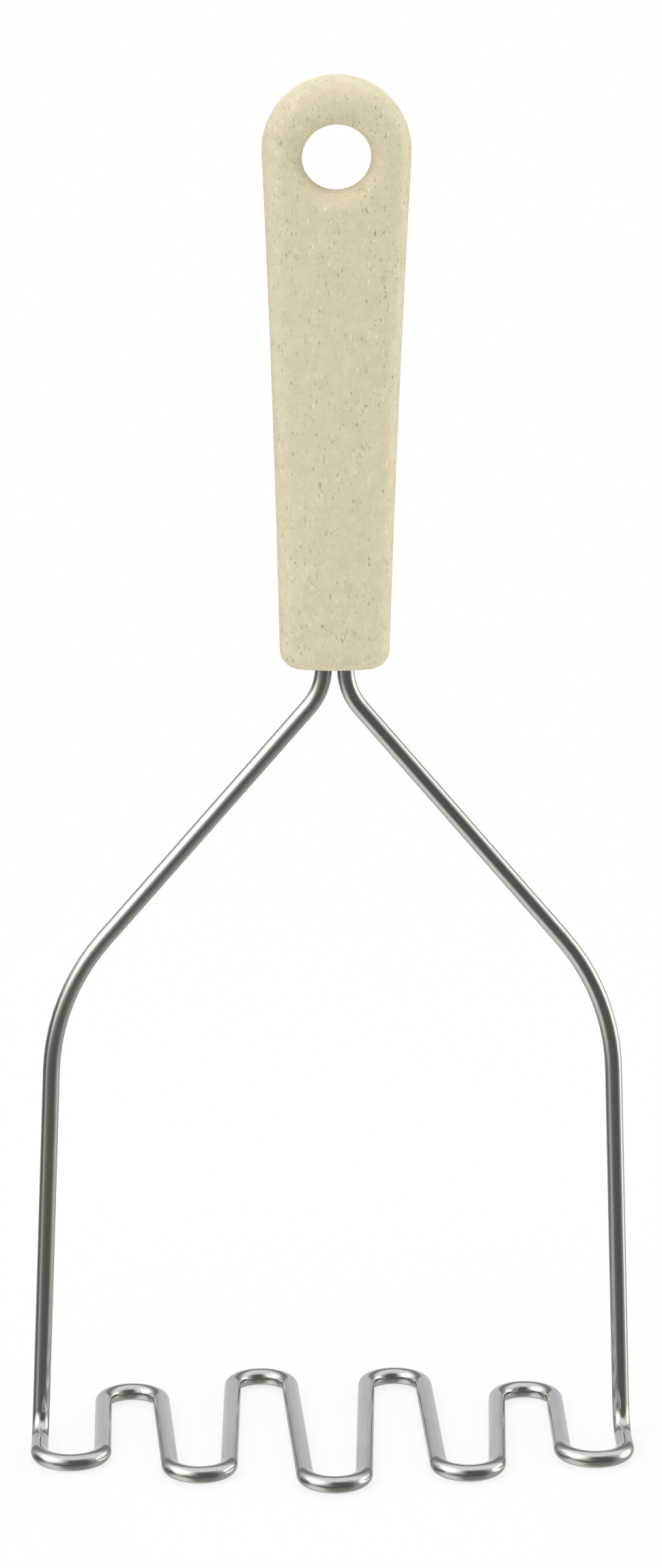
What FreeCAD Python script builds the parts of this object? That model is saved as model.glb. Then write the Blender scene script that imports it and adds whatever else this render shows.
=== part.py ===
import FreeCAD, Part
import math
import os
from FreeCAD import Vector

# A wire potato masher: one steel wire, bent to a frame with a wavy head, moulded into a plastic handle.
# It stands on its head, with the origin under the middle of the head, +Z up the handle and -Y to the front.

# Wire sizes, with every bend radius taken to the middle of the wire
wire_diameter = 3.0
tang_spacing = 3.8
tang_depth = 42.0
tang_notch_length = 8.0
tang_notch_depth = 0.5
tang_notch_drop = 6.0
neck_corner_drop = 4.3
neck_bend_radius = 11.0
shoulder_corner_height = 82.6
shoulder_half_spread = 48.9
shoulder_bend_radius = 39.0
foot_half_spread = 51.9
foot_bend_radius = 4.5

# Head sizes: five front loops and four back loops, listed from the outermost loop to the middle one
outer_loop_bend_radius = 5.6
loop_bend_radius = 5.2
head_reach = 26.5
loop_place_shares = (1.0, 0.769, 0.51, 0.263, 0.0)
loop_reach_shares = (0.58, 0.725, 0.81, 1.0, 1.0)

# Handle sizes
handle_bottom_height = 142.0
handle_length = 102.15
handle_top_radius = 12.65
handle_bottom_width = 18.75
handle_side_hollow_radius = 3400.0
handle_edge_thickness = 8.0
handle_top_thickness = 10.5
handle_bottom_thickness = 13.0
handle_rim_round = 4.0
handle_bottom_round = 3.4

# Hang hole sizes, and how much of the wall beside the hole the rounds on its two sides may take
hang_hole_diameter = 11.8
hang_hole_drop = 13.8
hang_hole_round = 3.0
rim_round_share = 0.6
hole_round_share = 0.45

# Overrun of the blanks and cutters past the faces that they trim
overrun = 2.0

# Places that follow from the sizes above
wire_radius = wire_diameter / 2
handle_top_height = handle_bottom_height + handle_length
hang_hole_height = handle_top_height - hang_hole_drop
hang_hole_wall = min(handle_top_radius, hang_hole_drop) - hang_hole_diameter / 2
tang_top_height = handle_bottom_height + tang_depth
neck_corner_height = handle_bottom_height - neck_corner_drop


def rounded_run(corners, radii):
    """Edges through the corner points, straight between them, with a tangent arc at each inner corner."""
    edges = []
    start = corners[0]
    for before, corner, after, radius in zip(corners, corners[1:], corners[2:], radii):
        back = (before - corner).normalize()
        ahead = (after - corner).normalize()
        half_angle = back.getAngle(ahead) / 2
        setback = radius / math.tan(half_angle)
        inward = (back + ahead).normalize()
        middle = corner + inward * (radius / math.sin(half_angle) - radius)
        arc_start = corner + back * setback
        arc_end = corner + ahead * setback
        edges.append(Part.LineSegment(start, arc_start).toShape())
        edges.append(Part.Arc(arc_start, middle, arc_end).toShape())
        start = arc_end
    edges.append(Part.LineSegment(start, corners[-1]).toShape())
    return edges


def head_loops():
    """Centre, outward direction and bend radius of every loop of the head, from left to right."""
    outer_place = foot_half_spread - outer_loop_bend_radius
    left_loops = []
    for number, (place_share, reach_share) in enumerate(zip(loop_place_shares, loop_reach_shares)):
        radius = outer_loop_bend_radius if number == 0 else loop_bend_radius
        outward = Vector(0, -1, 0) if number % 2 == 0 else Vector(0, 1, 0)
        centre = outward * (head_reach * reach_share - radius)
        centre.x = -outer_place * place_share
        centre.z = wire_radius
        left_loops.append((centre, outward, radius))
    right_loops = [
        (Vector(-centre.x, centre.y, centre.z), outward, radius)
        for centre, outward, radius in left_loops[:-1]
    ]
    return left_loops + right_loops[::-1]


def crossing_run(centre, radius, next_centre, next_radius):
    """Ends of the straight run that leaves one loop on its right and joins the next one on its left."""
    along = next_centre - centre
    lean = (radius + next_radius) / along.Length
    along.normalize()
    across = Vector(abs(along.y), -along.x * math.copysign(1, along.y), 0)
    normal = along * lean + across * math.sqrt(1 - lean ** 2)
    return centre + normal * radius, next_centre - normal * next_radius


def head_wave(loops, wave_start, wave_end):
    """Edges of the flat wave, arc by arc and run by run, between the two outer runs."""
    edges = []
    start = wave_start
    for (centre, outward, radius), (next_centre, _, next_radius) in zip(loops, loops[1:]):
        leave, join = crossing_run(centre, radius, next_centre, next_radius)
        edges.append(Part.Arc(start, centre + outward * radius, leave).toShape())
        edges.append(Part.LineSegment(leave, join).toShape())
        start = join
    last_centre, last_outward, last_radius = loops[-1]
    edges.append(Part.Arc(start, last_centre + last_outward * last_radius, wave_end).toShape())
    return edges


def frame_side(side, outer_run_end):
    """Edges of one side of the frame: tang, neck, shoulder, leg, foot and outer run."""
    corners = [
        Vector(side * tang_spacing / 2, 0, tang_top_height),
        Vector(side * tang_spacing / 2, 0, neck_corner_height),
        Vector(side * shoulder_half_spread, 0, shoulder_corner_height),
        Vector(side * foot_half_spread, 0, wire_radius),
        outer_run_end,
    ]
    radii = [neck_bend_radius, shoulder_bend_radius, foot_bend_radius]
    return rounded_run(corners, radii)


def tang_notches():
    """Blocks that cut the pressed notches, front and back, by which the moulding grips both tangs."""
    width = tang_spacing + wire_diameter + 2 * overrun
    notch_bottom = tang_top_height - tang_notch_drop - tang_notch_length
    depth = tang_notch_depth + overrun
    front_corner = Vector(-width / 2, -wire_radius - overrun, notch_bottom)
    back_corner = Vector(-width / 2, wire_radius - tang_notch_depth, notch_bottom)
    return [Part.makeBox(width, depth, tang_notch_length, corner) for corner in (front_corner, back_corner)]


def bent_wire():
    """The whole wire: one round tube along its bent centreline, notched where the handle grips it."""
    loops = head_loops()
    left_end = loops[0][0] - Vector(outer_loop_bend_radius, 0, 0)
    right_end = loops[-1][0] + Vector(outer_loop_bend_radius, 0, 0)
    edges = frame_side(-1, left_end)
    edges += head_wave(loops, left_end, right_end)
    edges += frame_side(1, right_end)
    path = Part.Wire(Part.__sortEdges__(edges))
    tip = Vector(-tang_spacing / 2, 0, tang_top_height)
    section = Part.Wire(Part.Circle(tip, Vector(0, 0, -1), wire_radius).toShape())
    tube = path.makePipeShell([section], True, False)
    full_volume = math.pi * wire_radius ** 2 * path.Length
    print("wire length", round(path.Length, 1))
    print("wire volume against section times length", tube.Volume / full_volume)
    return tube.cut(tang_notches()).Solids[0]


def hollow_side(side, top_centre, bottom_corner):
    """Long side of the handle: a slightly hollow arc, tangent to the round top, and where it leaves it."""
    reach = handle_top_radius + handle_side_hollow_radius
    down = bottom_corner - top_centre
    spread = (reach ** 2 - handle_side_hollow_radius ** 2 + down.Length ** 2) / (2 * down.Length)
    rise = math.sqrt(reach ** 2 - spread ** 2)
    down.normalize()
    outward = Vector(-down.z * side, 0, down.x * side)
    arc_centre = top_centre + down * spread + outward * rise
    tangent_point = top_centre + (arc_centre - top_centre) * (handle_top_radius / reach)
    chord_middle = (tangent_point + bottom_corner) / 2
    bulge = (chord_middle - arc_centre).normalize() * handle_side_hollow_radius
    return Part.Arc(tangent_point, arc_centre + bulge, bottom_corner).toShape(), tangent_point


def handle_outline():
    """Front view of the handle: round top, long hollow sides and a straight bottom, as a face."""
    top_centre = Vector(0, 0, handle_top_height - handle_top_radius)
    left_corner = Vector(-handle_bottom_width / 2, 0, handle_bottom_height)
    right_corner = Vector(handle_bottom_width / 2, 0, handle_bottom_height)
    left_side, left_tangent = hollow_side(-1, top_centre, left_corner)
    right_side, right_tangent = hollow_side(1, top_centre, right_corner)
    top = Part.Arc(left_tangent, Vector(0, 0, handle_top_height), right_tangent).toShape()
    bottom = Part.LineSegment(left_corner, right_corner).toShape()
    return Part.Face(Part.Wire(Part.__sortEdges__([bottom, left_side, top, right_side])))


def crowned_section(height):
    """Level section of the crowned blank: bulging front and back, wider than the outline by the overrun."""
    share = (height - handle_bottom_height) / handle_length
    thickness = handle_bottom_thickness + (handle_top_thickness - handle_bottom_thickness) * share
    half_width = handle_bottom_width / 2 + (handle_top_radius - handle_bottom_width / 2) * share
    crown = (thickness - handle_edge_thickness) / 2
    crown_radius = (half_width ** 2 + crown ** 2) / (2 * crown)
    x = half_width + overrun
    y = thickness / 2 - crown_radius + math.sqrt(crown_radius ** 2 - x ** 2)
    front = Part.Arc(Vector(-x, -y, height), Vector(0, -thickness / 2, height), Vector(x, -y, height))
    right = Part.LineSegment(Vector(x, -y, height), Vector(x, y, height))
    back = Part.Arc(Vector(x, y, height), Vector(0, thickness / 2, height), Vector(-x, y, height))
    left = Part.LineSegment(Vector(-x, y, height), Vector(-x, -y, height))
    return Part.Wire([curve.toShape() for curve in (front, right, back, left)])


def handle_blank():
    """The handle before its hole: outline and crowned blank in common, with rounded rims."""
    half_depth = handle_bottom_thickness / 2 + overrun
    outline = handle_outline()
    outline.translate(Vector(0, -half_depth, 0))
    prism = outline.extrude(Vector(0, 2 * half_depth, 0))
    low_section = crowned_section(handle_bottom_height - overrun)
    high_section = crowned_section(handle_top_height + overrun)
    blank = prism.common(Part.makeLoft([low_section, high_section], True, True))
    above_bottom = handle_bottom_height + overrun
    long_rims = [
        edge for edge in blank.Edges
        if edge.BoundBox.YMin * edge.BoundBox.YMax > 0 and edge.BoundBox.ZMax > above_bottom
    ]
    blank = blank.makeFillet(min(handle_rim_round, hang_hole_wall * rim_round_share), long_rims)
    bottom_rim = [edge for edge in blank.Edges if edge.BoundBox.ZMax < above_bottom]
    return blank.makeFillet(handle_bottom_round, bottom_rim)


def moulded_handle(wire):
    """The handle with its rounded hang hole, moulded close round the tangs of the wire."""
    half_depth = handle_bottom_thickness / 2 + overrun
    hole_start = Vector(0, -half_depth, hang_hole_height)
    hole = Part.makeCylinder(hang_hole_diameter / 2, 2 * half_depth, hole_start, Vector(0, 1, 0))
    handle = handle_blank().cut(hole)
    wall = hang_hole_diameter / 2 + overrun
    hole_rims = [
        edge for edge in handle.Edges
        if edge.BoundBox.XMax < wall and edge.BoundBox.XMin > -wall
        and abs(edge.BoundBox.Center.z - hang_hole_height) < overrun
        and edge.BoundBox.YMin * edge.BoundBox.YMax > 0
    ]
    handle = handle.makeFillet(min(hang_hole_round, hang_hole_wall * hole_round_share), hole_rims)
    return handle.cut(wire).Solids[0]


os.makedirs("parts", exist_ok=True)
masher_wire = bent_wire()
handle = moulded_handle(masher_wire)
for node, shape in (("masher_wire", masher_wire), ("handle", handle)):
    print(node, shape.ShapeType, len(shape.Solids), shape.isValid(), round(shape.Volume, 1), shape.BoundBox)
    shape.exportStep("parts/" + node + ".step")
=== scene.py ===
import math

import bmesh
import bpy
from mathutils import Matrix, Vector


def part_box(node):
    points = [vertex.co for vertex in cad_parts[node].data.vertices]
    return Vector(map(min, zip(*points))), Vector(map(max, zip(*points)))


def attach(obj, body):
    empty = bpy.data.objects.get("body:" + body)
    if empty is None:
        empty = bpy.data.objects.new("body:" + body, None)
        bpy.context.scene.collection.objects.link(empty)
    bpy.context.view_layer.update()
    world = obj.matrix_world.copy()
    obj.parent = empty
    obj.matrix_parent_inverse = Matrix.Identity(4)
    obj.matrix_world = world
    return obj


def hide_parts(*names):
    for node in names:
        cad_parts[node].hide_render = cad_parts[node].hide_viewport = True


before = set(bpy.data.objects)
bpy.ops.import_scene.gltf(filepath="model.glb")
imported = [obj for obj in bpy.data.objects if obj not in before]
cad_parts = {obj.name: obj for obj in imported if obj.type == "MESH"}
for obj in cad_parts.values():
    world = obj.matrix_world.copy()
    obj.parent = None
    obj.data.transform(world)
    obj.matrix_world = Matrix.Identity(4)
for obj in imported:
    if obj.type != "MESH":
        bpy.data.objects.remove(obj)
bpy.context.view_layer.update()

# The wire: one length of round stainless steel wire, polished bright and bent to a frame with a wavy head.
# Both ends lie side by side in the handle, which is moulded round them and grips them at pressed notches.
# Lengths are in metres. The spread of the feet, the reach of the head and the tang tips follow the frame.
mm = 0.001
wire_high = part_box("masher_wire")[1]
handle_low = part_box("handle")[0]
wire_radius = 1.5 * mm
tang_offset = 1.9 * mm
tang_top = wire_high.z
notch_drop = 6 * mm
notch_length = 8 * mm
notch_depth = 0.5 * mm
neck_corner_drop = 4.3 * mm
neck_bend = 11 * mm
shoulder_corner_height = 82.6 * mm
shoulder_spread = 48.9 * mm
shoulder_bend = 39 * mm
foot_spread = wire_high.x - wire_radius
foot_bend = 4.5 * mm
outer_loop_bend = 5.6 * mm
loop_bend = 5.2 * mm
head_reach = wire_high.y - wire_radius
loop_place_shares = (1.0, 0.769, 0.51, 0.263, 0.0)
loop_reach_shares = (0.58, 0.725, 0.81, 1.0, 1.0)

wire_sides = 40
bend_step = math.radians(4)
sharp_angle = math.radians(40)
twin_distance = 0.0015 * mm


def bend_stations(centre, start, axis, turn):
    """Stations round one bend in even steps: the place, the way along the wire and how deep it is pressed."""
    steps = math.ceil(turn / bend_step)
    stations = []
    for step in range(steps + 1):
        arm = Matrix.Rotation(turn * step / steps, 3, axis) @ (start - centre)
        stations.append((centre + arm, axis.cross(arm).normalized(), 0))
    return stations


def corner_stations(before, corner, after, radius):
    """Stations round the bend that takes the wire past one corner of the frame."""
    back = (before - corner).normalized()
    ahead = (after - corner).normalized()
    half_angle = back.angle(ahead) / 2
    centre = corner + (back + ahead).normalized() * radius / math.sin(half_angle)
    start = corner + back * radius / math.tan(half_angle)
    return bend_stations(centre, start, ahead.cross(back).normalized(), math.pi - 2 * half_angle)


def tang_stations():
    """Stations down the left end of the wire, with the pressed notch near its tip."""
    notch_top = tang_top - notch_drop
    notch_bottom = notch_top - notch_length
    presses = (
        (tang_top, 0),
        (notch_top, 0),
        (notch_top, notch_depth),
        (notch_bottom, notch_depth),
        (notch_bottom, 0),
    )
    down = Vector((0, 0, -1))
    return [(Vector((-tang_offset, 0, height)), down, press) for height, press in presses]


def turn_about(axis, arm, next_arm):
    """Angle from one arm to the next one, turning about the axis."""
    return math.atan2(arm.cross(next_arm).dot(axis), arm.dot(next_arm)) % math.tau


def loop_stations(loops, start):
    """Stations round the loops of the head's left half, from the outer run to the tip of the middle loop."""
    stations = []
    for (centre, forward, bend), (next_centre, _, next_bend) in zip(loops, loops[1:]):
        along = next_centre - centre
        lean = (bend + next_bend) / along.length
        along.normalize()
        across = Vector((abs(along.y), -along.x * math.copysign(1, along.y), 0))
        normal = along * lean + across * math.sqrt(1 - lean ** 2)
        axis = Vector((0, 0, forward))
        stations += bend_stations(centre, start, axis, turn_about(axis, start - centre, normal))
        start = next_centre - normal * next_bend
    centre, forward, _ = loops[-1]
    axis = Vector((0, 0, forward))
    to_tip = Vector((0, -forward, 0))
    return stations + bend_stations(centre, start, axis, turn_about(axis, start - centre, to_tip))


# centre, forward and bend of each loop from the outermost to the middle one; forward is -1 for a back loop
loops = []
for number, (place_share, reach_share) in enumerate(zip(loop_place_shares, loop_reach_shares)):
    forward = 1 if number % 2 == 0 else -1
    bend = outer_loop_bend if number == 0 else loop_bend
    loop_x = -(foot_spread - outer_loop_bend) * place_share
    loop_y = -forward * (head_reach * reach_share - bend)
    loops.append((Vector((loop_x, loop_y, wire_radius)), forward, bend))

tang_tip = Vector((-tang_offset, 0, tang_top))
neck = Vector((-tang_offset, 0, handle_low.z - neck_corner_drop))
shoulder = Vector((-shoulder_spread, 0, shoulder_corner_height))
foot = Vector((-foot_spread, 0, wire_radius))
outer_run_end = loops[0][0] - Vector((outer_loop_bend, 0, 0))
left_half = tang_stations()
left_half += corner_stations(tang_tip, neck, shoulder, neck_bend)
left_half += corner_stations(neck, shoulder, foot, shoulder_bend)
left_half += corner_stations(shoulder, foot, outer_run_end, foot_bend)
left_half += loop_stations(loops, outer_run_end)
right_half = [
    (Vector((-place.x, place.y, place.z)), Vector((facing.x, -facing.y, -facing.z)), press)
    for place, facing, press in left_half[-2::-1]
]


def wire_tube(stations):
    """Mesh of the wire: one ring per station, and on each point its place round and along the wire."""
    tube = bmesh.new()
    along_wire = tube.verts.layers.float_vector.new("along_wire")
    rings = []
    length = 0
    across = Vector((0, 1, 0))
    last_place, last_facing, _ = stations[0]
    for place, facing, press in stations:
        across = last_facing.rotation_difference(facing) @ across
        side = facing.cross(across)
        length += (place - last_place).length
        ring = []
        for number in range(wire_sides):
            angle = math.tau * number / wire_sides
            arm = (across * math.cos(angle) + side * math.sin(angle)) * wire_radius
            limit = wire_radius - press
            arm.y = max(-limit, min(limit, arm.y)) if press else arm.y
            vertex = tube.verts.new(place + arm)
            vertex[along_wire] = (wire_radius * math.cos(angle), wire_radius * math.sin(angle), length)
            ring.append(vertex)
        rings.append(ring)
        last_place, last_facing = place, facing
    for ring, next_ring in zip(rings, rings[1:]):
        for number in range(wire_sides):
            after = (number + 1) % wire_sides
            tube.faces.new((ring[number], ring[after], next_ring[after], next_ring[number]))
    tube.faces.new(rings[0][::-1])
    tube.faces.new(rings[-1])
    bmesh.ops.remove_doubles(tube, verts=tube.verts, dist=twin_distance)
    bmesh.ops.recalc_face_normals(tube, faces=tube.faces)
    return tube


wire_form = wire_tube(left_half + right_half)
wire_mesh = bpy.data.meshes.new("bent_wire")
wire_form.to_mesh(wire_mesh)
wire_form.free()
wire_mesh.shade_smooth()
wire_mesh.set_sharp_from_angle(angle=sharp_angle)
wire = bpy.data.objects.new("bent_wire", wire_mesh)
bpy.context.scene.collection.objects.link(wire)


def add_node(tree, kind, inputs=None, **settings):
    """Node of that kind with its settings, and a value or a link on each named or numbered input."""
    made = tree.nodes.new(kind)
    for name, value in settings.items():
        setattr(made, name, value)
    for socket, value in (inputs or {}).items():
        if isinstance(value, bpy.types.NodeSocket):
            tree.links.new(value, made.inputs[socket])
        else:
            made.inputs[socket].default_value = value
    return made


def calculate(tree, operation, first, second=0):
    """Result of an operation on two values."""
    return add_node(tree, "ShaderNodeMath", {0: first, 1: second}, operation=operation).outputs[0]


def calculate_vector(tree, operation, first, second=(0, 0, 0)):
    """Result of an operation on two vectors, which is a value for a length or a dot product."""
    made = add_node(tree, "ShaderNodeVectorMath", {0: first, 1: second}, operation=operation)
    return made.outputs["Value" if operation in ("LENGTH", "DOT_PRODUCT") else "Vector"]


def remap(tree, value, old_range, new_range=(0, 1), blend="LINEAR"):
    """Value carried over from one range to another and held at both ends."""
    inputs = {"Value": value, "From Min": old_range[0], "From Max": old_range[1]}
    inputs.update({"To Min": new_range[0], "To Max": new_range[1]})
    return add_node(tree, "ShaderNodeMapRange", inputs, interpolation_type=blend).outputs[0]


def mix_colours(tree, share, first, second):
    """Colour between two colours, where share is the part of the second one."""
    made = add_node(tree, "ShaderNodeMix", {"Factor": share, "A": first, "B": second}, data_type="RGBA")
    return made.outputs["Result"]


def add_noise(tree, place, scale, detail, roughness=0.5):
    """Cloudy noise at that place, as the node that holds its value and its colour."""
    inputs = {"Vector": place, "Scale": scale, "Detail": detail, "Roughness": roughness}
    return add_node(tree, "ShaderNodeTexNoise", inputs)


def add_group(name, inputs, outputs):
    """Empty shader node group with those named sockets, and its input and output nodes."""
    group = bpy.data.node_groups.new(name, "ShaderNodeTree")
    for socket, kind, value in inputs:
        made = group.interface.new_socket(socket, in_out="INPUT", socket_type=kind)
        made.default_value = value
    for socket, kind in outputs:
        group.interface.new_socket(socket, in_out="OUTPUT", socket_type=kind)
    return group, group.nodes.new("NodeGroupInput"), group.nodes.new("NodeGroupOutput")


# Handled haze: soft patches and fine lengthwise streaks that wiping leaves on a smooth skin, as a mask.
streak_squeeze = (9, 9, 0.25)
noise_range = (0.3, 0.7)
haze_group, haze_in, haze_out = add_group(
    "handled_haze",
    [
        ("Place", "NodeSocketVector", (0, 0, 0)),
        ("Patch Size", "NodeSocketFloat", 5 * mm),
        ("Streak Share", "NodeSocketFloat", 0.5),
    ],
    [("Haze", "NodeSocketFloat")],
)
per_patch = calculate(haze_group, "DIVIDE", 1, haze_in.outputs["Patch Size"])
patches = add_noise(haze_group, haze_in.outputs["Place"], per_patch, detail=3, roughness=0.6)
streak_place = calculate_vector(haze_group, "MULTIPLY", haze_in.outputs["Place"], streak_squeeze)
streaks = add_noise(haze_group, streak_place, per_patch, detail=2)
haze_parts = {
    "Factor": haze_in.outputs["Streak Share"],
    "A": patches.outputs["Fac"],
    "B": streaks.outputs["Fac"],
}
haze = add_node(haze_group, "ShaderNodeMix", haze_parts)
haze_group.links.new(haze.outputs[0], haze_out.inputs["Haze"])

steel_clear_colour = (0.66, 0.65, 0.63, 1)
steel_hazy_colour = (0.58, 0.57, 0.55, 1)
steel_roughness = (0.10, 0.20)
steel_patch_size = 4 * mm
steel_streak_share = 0.6
bright_steel = bpy.data.materials.new("bright_drawn_steel")
bright_steel.use_nodes = True
steel_tree = bright_steel.node_tree
steel_shader = steel_tree.nodes["Principled BSDF"]
steel_shader.inputs["Metallic"].default_value = 1
wire_place = add_node(steel_tree, "ShaderNodeAttribute", attribute_name="along_wire").outputs["Vector"]
steel_haze_node = add_node(steel_tree, "ShaderNodeGroup", {"Place": wire_place}, node_tree=haze_group)
steel_haze_node.inputs["Patch Size"].default_value = steel_patch_size
steel_haze_node.inputs["Streak Share"].default_value = steel_streak_share
steel_haze = steel_haze_node.outputs["Haze"]
steel_colour = mix_colours(steel_tree, steel_haze, steel_clear_colour, steel_hazy_colour)
steel_tree.links.new(steel_colour, steel_shader.inputs["Base Color"])
steel_gloss = remap(steel_tree, steel_haze, noise_range, steel_roughness)
steel_tree.links.new(steel_gloss, steel_shader.inputs["Roughness"])
wire_mesh.materials.append(bright_steel)
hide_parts("masher_wire")
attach(wire, "root")

# The handle: one moulding of beige plastic filled with plant fibre, with a hang hole through its round top.
# It is moulded in one shot round both ends of the wire, so no cap or fastener shows, and its skin is satin.
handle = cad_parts["handle"]

# Fibre flecks: bunches of scraps, one to a cell of a loose grid, each with its own lean, size and tone.
bunches_per_metre = 200
bunch_crowding = (0.3, 1.7)
fleck_sizes = (0.5, 1.0)
upright_share = 0.5
fleck_group, fleck_in, fleck_out = add_group(
    "fibre_flecks",
    [
        ("Place", "NodeSocketVector", (0, 0, 0)),
        ("Spacing", "NodeSocketFloat", 1 * mm),
        ("Half Size", "NodeSocketVector", (0.2 * mm, 0.2 * mm, 0.4 * mm)),
        ("Swing", "NodeSocketFloat", 1.0),
        ("Chance", "NodeSocketFloat", 0.5),
    ],
    [("Fleck", "NodeSocketFloat"), ("Tone", "NodeSocketFloat")],
)
fleck_place = fleck_in.outputs["Place"]
per_spacing = calculate(fleck_group, "DIVIDE", 1, fleck_in.outputs["Spacing"])
cells = add_node(fleck_group, "ShaderNodeTexVoronoi", {"Vector": fleck_place, "Scale": per_spacing})
cell_middle = cells.outputs["Position"]
dice = add_node(fleck_group, "ShaderNodeSeparateColor", {0: cells.outputs["Color"]})
bunches = add_noise(fleck_group, cell_middle, bunches_per_metre, detail=1)
crowding = remap(fleck_group, bunches.outputs["Fac"], noise_range, bunch_crowding)
chance_here = calculate(fleck_group, "MULTIPLY", fleck_in.outputs["Chance"], crowding)
taken = calculate(fleck_group, "LESS_THAN", dice.outputs["Red"], chance_here)
lean_share = calculate(fleck_group, "DIVIDE", dice.outputs["Red"], chance_here)
lean_off_upright = calculate(fleck_group, "SUBTRACT", lean_share, upright_share)
fleck_lean = calculate(fleck_group, "MULTIPLY", lean_off_upright, fleck_in.outputs["Swing"])
from_middle = calculate_vector(fleck_group, "SUBTRACT", fleck_place, cell_middle)
leaning = {"Vector": from_middle, "Angle": fleck_lean}
upright = add_node(fleck_group, "ShaderNodeVectorRotate", leaning, rotation_type="Y_AXIS").outputs[0]
in_half_sizes = calculate_vector(fleck_group, "DIVIDE", upright, fleck_in.outputs["Half Size"])
off_middle = calculate_vector(fleck_group, "LENGTH", in_half_sizes)
fleck_size = remap(fleck_group, dice.outputs["Green"], (0, 1), fleck_sizes)
off_middle_share = calculate(fleck_group, "DIVIDE", off_middle, fleck_size)
fleck_mask = remap(fleck_group, off_middle_share, (1, 0), (0, 1), "SMOOTHSTEP")
fleck = calculate(fleck_group, "MULTIPLY", fleck_mask, taken)
fleck_group.links.new(fleck, fleck_out.inputs["Fleck"])
fleck_group.links.new(dice.outputs["Blue"], fleck_out.inputs["Tone"])

dark_ground = (0.623, 0.561, 0.389, 1)
pale_ground = (0.711, 0.642, 0.449, 1)
clouds_per_metre = 450
pale_fibre = (1.0, 0.95, 0.77, 1)
tan_fibre = (0.42, 0.35, 0.19, 1)
dark_fibre = (0.15, 0.085, 0.0, 1)
ragged_per_metre = 2600
ragged_middle = (0.5, 0.5, 0.5)
ragged_reach = (0.34 * mm, 0.34 * mm, 0.34 * mm)
# spacing, half width and half length in mm, swing, chance, colour, least and most strength, palest first
fleck_kinds = (
    (1.05, 0.38, 0.90, 0.9, 0.60, pale_fibre, 0.04, 0.46),
    (1.90, 0.55, 0.95, 2.4, 0.55, tan_fibre, 0.06, 0.26),
    (0.50, 0.17, 0.26, 0.6, 0.42, dark_fibre, 0.04, 0.42),
    (0.78, 0.26, 0.66, 0.5, 0.60, dark_fibre, 0.05, 0.64),
    (1.15, 0.33, 0.56, 1.4, 0.50, dark_fibre, 0.06, 0.56),
    (1.95, 0.37, 0.92, 0.6, 0.58, dark_fibre, 0.10, 0.72),
)
plastic_specular = 0.3
plastic_roughness = (0.40, 0.52)
plastic_patch_size = 9 * mm
plastic_streak_share = 0.3
grain_per_metre = 2600
grain_depth = 0.05 * mm
grain_strength = 0.12
fibre_plastic = bpy.data.materials.new("beige_fibre_plastic")
fibre_plastic.use_nodes = True
plastic_tree = fibre_plastic.node_tree
plastic_shader = plastic_tree.nodes["Principled BSDF"]
plastic_shader.inputs["Specular IOR Level"].default_value = plastic_specular
handle_place = add_node(plastic_tree, "ShaderNodeTexCoord").outputs["Object"]
clouds = add_noise(plastic_tree, handle_place, clouds_per_metre, detail=4, roughness=0.65)
cloud_tone = remap(plastic_tree, clouds.outputs["Fac"], noise_range)
plastic_colour = mix_colours(plastic_tree, cloud_tone, dark_ground, pale_ground)
ragged = add_noise(plastic_tree, handle_place, ragged_per_metre, detail=1)
ragged_way = calculate_vector(plastic_tree, "SUBTRACT", ragged.outputs["Color"], ragged_middle)
ragged_step = calculate_vector(plastic_tree, "MULTIPLY", ragged_way, ragged_reach)
ragged_place = calculate_vector(plastic_tree, "ADD", handle_place, ragged_step)
for spacing, half_width, half_length, swing, chance, fibre_colour, least, most in fleck_kinds:
    flecks = add_node(plastic_tree, "ShaderNodeGroup", {"Place": ragged_place}, node_tree=fleck_group)
    flecks.inputs["Spacing"].default_value = spacing * mm
    flecks.inputs["Half Size"].default_value = (half_width * mm, half_width * mm, half_length * mm)
    flecks.inputs["Swing"].default_value = swing
    flecks.inputs["Chance"].default_value = chance
    strength = remap(plastic_tree, flecks.outputs["Tone"], (0, 1), (least, most))
    fleck_share = calculate(plastic_tree, "MULTIPLY", flecks.outputs["Fleck"], strength)
    plastic_colour = mix_colours(plastic_tree, fleck_share, plastic_colour, fibre_colour)
plastic_tree.links.new(plastic_colour, plastic_shader.inputs["Base Color"])
plastic_haze = add_node(plastic_tree, "ShaderNodeGroup", {"Place": handle_place}, node_tree=haze_group)
plastic_haze.inputs["Patch Size"].default_value = plastic_patch_size
plastic_haze.inputs["Streak Share"].default_value = plastic_streak_share
plastic_gloss = remap(plastic_tree, plastic_haze.outputs["Haze"], noise_range, plastic_roughness)
plastic_tree.links.new(plastic_gloss, plastic_shader.inputs["Roughness"])
grain = add_noise(plastic_tree, handle_place, grain_per_metre, detail=2).outputs["Fac"]
grain_parts = {"Strength": grain_strength, "Distance": grain_depth, "Height": grain}
skin = add_node(plastic_tree, "ShaderNodeBump", grain_parts)
plastic_tree.links.new(skin.outputs[0], plastic_shader.inputs["Normal"])
handle.data.materials.clear()
handle.data.materials.append(fibre_plastic)

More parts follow.
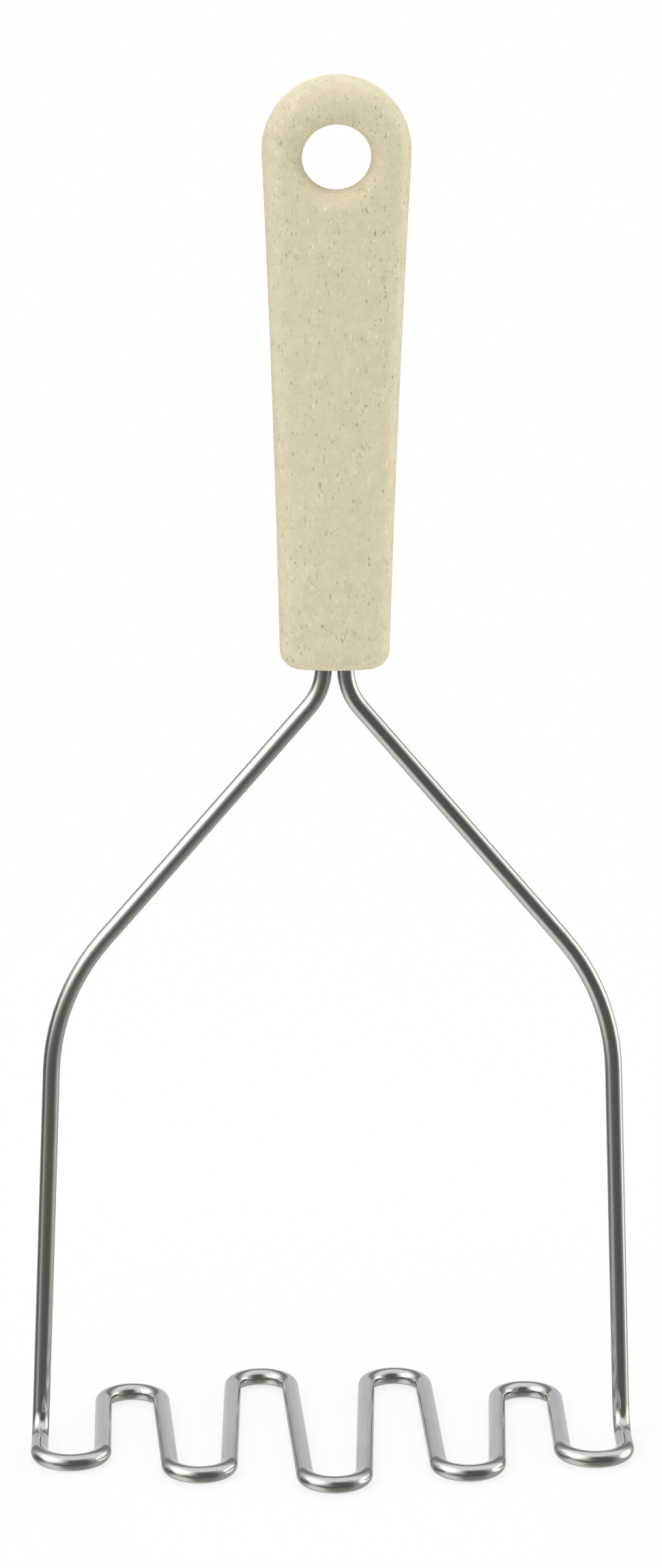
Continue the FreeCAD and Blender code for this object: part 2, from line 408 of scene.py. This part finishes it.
# The floor: a wide sheet of plain pale card that the masher stands on, lit from all round.
# To the camera it is white, fully so away from the object, and close by it keeps the object's soft shadow.
floor_half = 4.0
floor_colour = (0.92, 0.92, 0.92, 1)
floor_colour_seen = (0.78, 0.78, 0.78, 1)
floor_roughness = 0.9
white = (1, 1, 1, 1)
shadow_range = (0.1, 0.5)
whiteness_range = (0.8, 1.0)
floor_corners = [(-floor_half, -floor_half, 0), (floor_half, -floor_half, 0)]
floor_corners += [(floor_half, floor_half, 0), (-floor_half, floor_half, 0)]
floor_mesh = bpy.data.meshes.new("floor")
floor_mesh.from_pydata(floor_corners, [], [(0, 1, 2, 3)])
floor = bpy.data.objects.new("floor", floor_mesh)
bpy.context.scene.collection.objects.link(floor)
floor.visible_glossy = False
pale_card = bpy.data.materials.new("pale_floor")
pale_card.use_nodes = True
floor_tree = pale_card.node_tree
floor_shader = floor_tree.nodes["Principled BSDF"]
floor_shader.inputs["Roughness"].default_value = floor_roughness
floor_seen = add_node(floor_tree, "ShaderNodeLightPath").outputs["Is Camera Ray"]
lit_colour = mix_colours(floor_tree, floor_seen, floor_colour, floor_colour_seen)
floor_tree.links.new(lit_colour, floor_shader.inputs["Base Color"])
floor_place = add_node(floor_tree, "ShaderNodeTexCoord").outputs["Object"]
from_object = calculate_vector(floor_tree, "LENGTH", floor_place)
whiteness = remap(floor_tree, from_object, shadow_range, whiteness_range, "SMOOTHSTEP")
glow_share = calculate(floor_tree, "MULTIPLY", floor_seen, whiteness)
white_glow = add_node(floor_tree, "ShaderNodeEmission", {"Color": white, "Strength": 1})
floor_parts = {0: glow_share, 1: floor_shader.outputs[0], 2: white_glow.outputs[0]}
floor_mix = add_node(floor_tree, "ShaderNodeMixShader", floor_parts)
floor_tree.links.new(floor_mix.outputs[0], floor_tree.nodes["Material Output"].inputs["Surface"])
floor_mesh.materials.append(pale_card)

# The room: white to the camera. A sky that brightens upward and four soft square lamps light the object.
# Bright metal mirrors the room itself, with a bright panel on each side and the unlit side behind the camera.
sky_light = (0.02, 0.78)
room_low_colour = (0.48, 0.47, 0.45, 1)
room_high_colour = (1.12, 1.12, 1.13, 1)
room_rise = (-0.6, 0.9)
# azimuth, elevation, half width and soft border in degrees, and colour of each round patch of the room
room_patches = (
    (180, 20, 28, 36, (0.27, 0.265, 0.255, 1)),
    (180, 1, 23, 4, (0.735, 0.74, 0.765, 1)),
    (4, 2, 42, 46, (0.130, 0.126, 0.114, 1)),
    (-30, 10, 4, 34, (0.36, 0.349, 0.324, 1)),
    (-68, 34, 12, 42, (1.90, 1.86, 1.78, 1)),
    (101, 5, 23, 5, (1.60, 1.57, 1.50, 1)),
    (-104, -15, 16, 22, (0.15, 0.146, 0.134, 1)),
    (-73, -58, 16, 33, (0.92, 0.91, 0.89, 1)),
    (20, -61, 16, 29, (0.27, 0.262, 0.24, 1)),
    (0, 90, 12, 38, (1.05, 1.05, 1.06, 1)),
)
# name, azimuth and elevation in degrees, and share of plain light that each lamp adds face on
lamps = (
    ("left_lamp", -60, 40, 0.33),
    ("right_lamp", 90, 12, 0.34),
    ("top_lamp", 0, 80, 0.30),
    ("back_lamp", 180, 40, 0.30),
)
lamp_distance = 1.2
lamp_side = 0.7
lamp_target = Vector((0, 0, 0.12))


def heading(azimuth, elevation):
    """Unit vector from the object, with azimuth counted to the right from the front, in degrees."""
    turn, rise = math.radians(azimuth), math.radians(elevation)
    return Vector((math.sin(turn) * math.cos(rise), -math.cos(turn) * math.cos(rise), math.sin(rise)))


world = bpy.data.worlds.new("studio")
world.use_nodes = True
bpy.context.scene.world = world
room_tree = world.node_tree
room_tree.nodes.clear()
way = add_node(room_tree, "ShaderNodeTexCoord").outputs["Generated"]
way_up = add_node(room_tree, "ShaderNodeSeparateXYZ", {0: way}).outputs["Z"]
room_height = remap(room_tree, way_up, room_rise, (0, 1), "SMOOTHSTEP")
mirrored = mix_colours(room_tree, room_height, room_low_colour, room_high_colour)
for azimuth, elevation, half_width, border, patch_colour in room_patches:
    toward = calculate_vector(room_tree, "DOT_PRODUCT", way, heading(azimuth, elevation))
    off_patch = calculate(room_tree, "ARCCOSINE", toward)
    patch_edge = (math.radians(half_width + border), math.radians(half_width))
    patch = remap(room_tree, off_patch, patch_edge, (0, 1), "SMOOTHSTEP")
    mirrored = mix_colours(room_tree, patch, mirrored, patch_colour)
sky = remap(room_tree, way_up, (-1, 1), sky_light)
room_ray = add_node(room_tree, "ShaderNodeLightPath")
lit = mix_colours(room_tree, room_ray.outputs["Is Glossy Ray"], sky, mirrored)
shown = mix_colours(room_tree, room_ray.outputs["Is Camera Ray"], lit, white)
room = add_node(room_tree, "ShaderNodeBackground", {"Color": shown, "Strength": 1})
add_node(room_tree, "ShaderNodeOutputWorld", {"Surface": room.outputs[0]})

for name, azimuth, elevation, level in lamps:
    lamp_light = bpy.data.lights.new(name, "AREA")
    lamp_light.size = lamp_side
    lamp_light.energy = level * (math.pi * lamp_distance) ** 2
    lamp = bpy.data.objects.new(name, lamp_light)
    outward = heading(azimuth, elevation)
    lamp.location = lamp_target + outward * lamp_distance
    lamp.rotation_mode = "QUATERNION"
    lamp.rotation_quaternion = outward.to_track_quat("Z", "Y")
    lamp.visible_glossy = False
    bpy.context.scene.collection.objects.link(lamp)

# The camera: stands a metre in front of the masher, a little to the left and 15 degrees above its middle.
# Its lens, place and turn were fitted to the bends of the wire and the outline of the handle.
# Angles are in radians, and the focal length is in pixels of a picture as tall as the photograph.
photo_height = 2299
focal_pixels = 8451
camera_distance = 1.0
camera_rise = math.radians(15)
camera_turn = -0.028
camera_roll = 0.004
camera_target = Vector((-0.52 * mm, 0, 120.942 * mm))
camera_data = bpy.data.cameras.new("photo_camera")
camera_data.lens = camera_data.sensor_width * focal_pixels / photo_height
camera = bpy.data.objects.new("photo_camera", camera_data)
bpy.context.scene.collection.objects.link(camera)
level_gaze = Vector((-math.sin(camera_turn), math.cos(camera_turn), 0))
gaze = level_gaze * math.cos(camera_rise) - Vector((0, 0, math.sin(camera_rise)))
right = gaze.cross(Vector((0, 0, 1))).normalized()
up = right.cross(gaze)
tilted_right = right * math.cos(camera_roll) + up * math.sin(camera_roll)
tilted_up = up * math.cos(camera_roll) - right * math.sin(camera_roll)
camera.rotation_mode = "QUATERNION"
camera.rotation_quaternion = Matrix((tilted_right, tilted_up, -gaze)).transposed().to_quaternion()
camera.location = camera_target - gaze * camera_distance
bpy.context.scene.camera = camera
bpy.context.scene.view_settings.view_transform = "Standard"
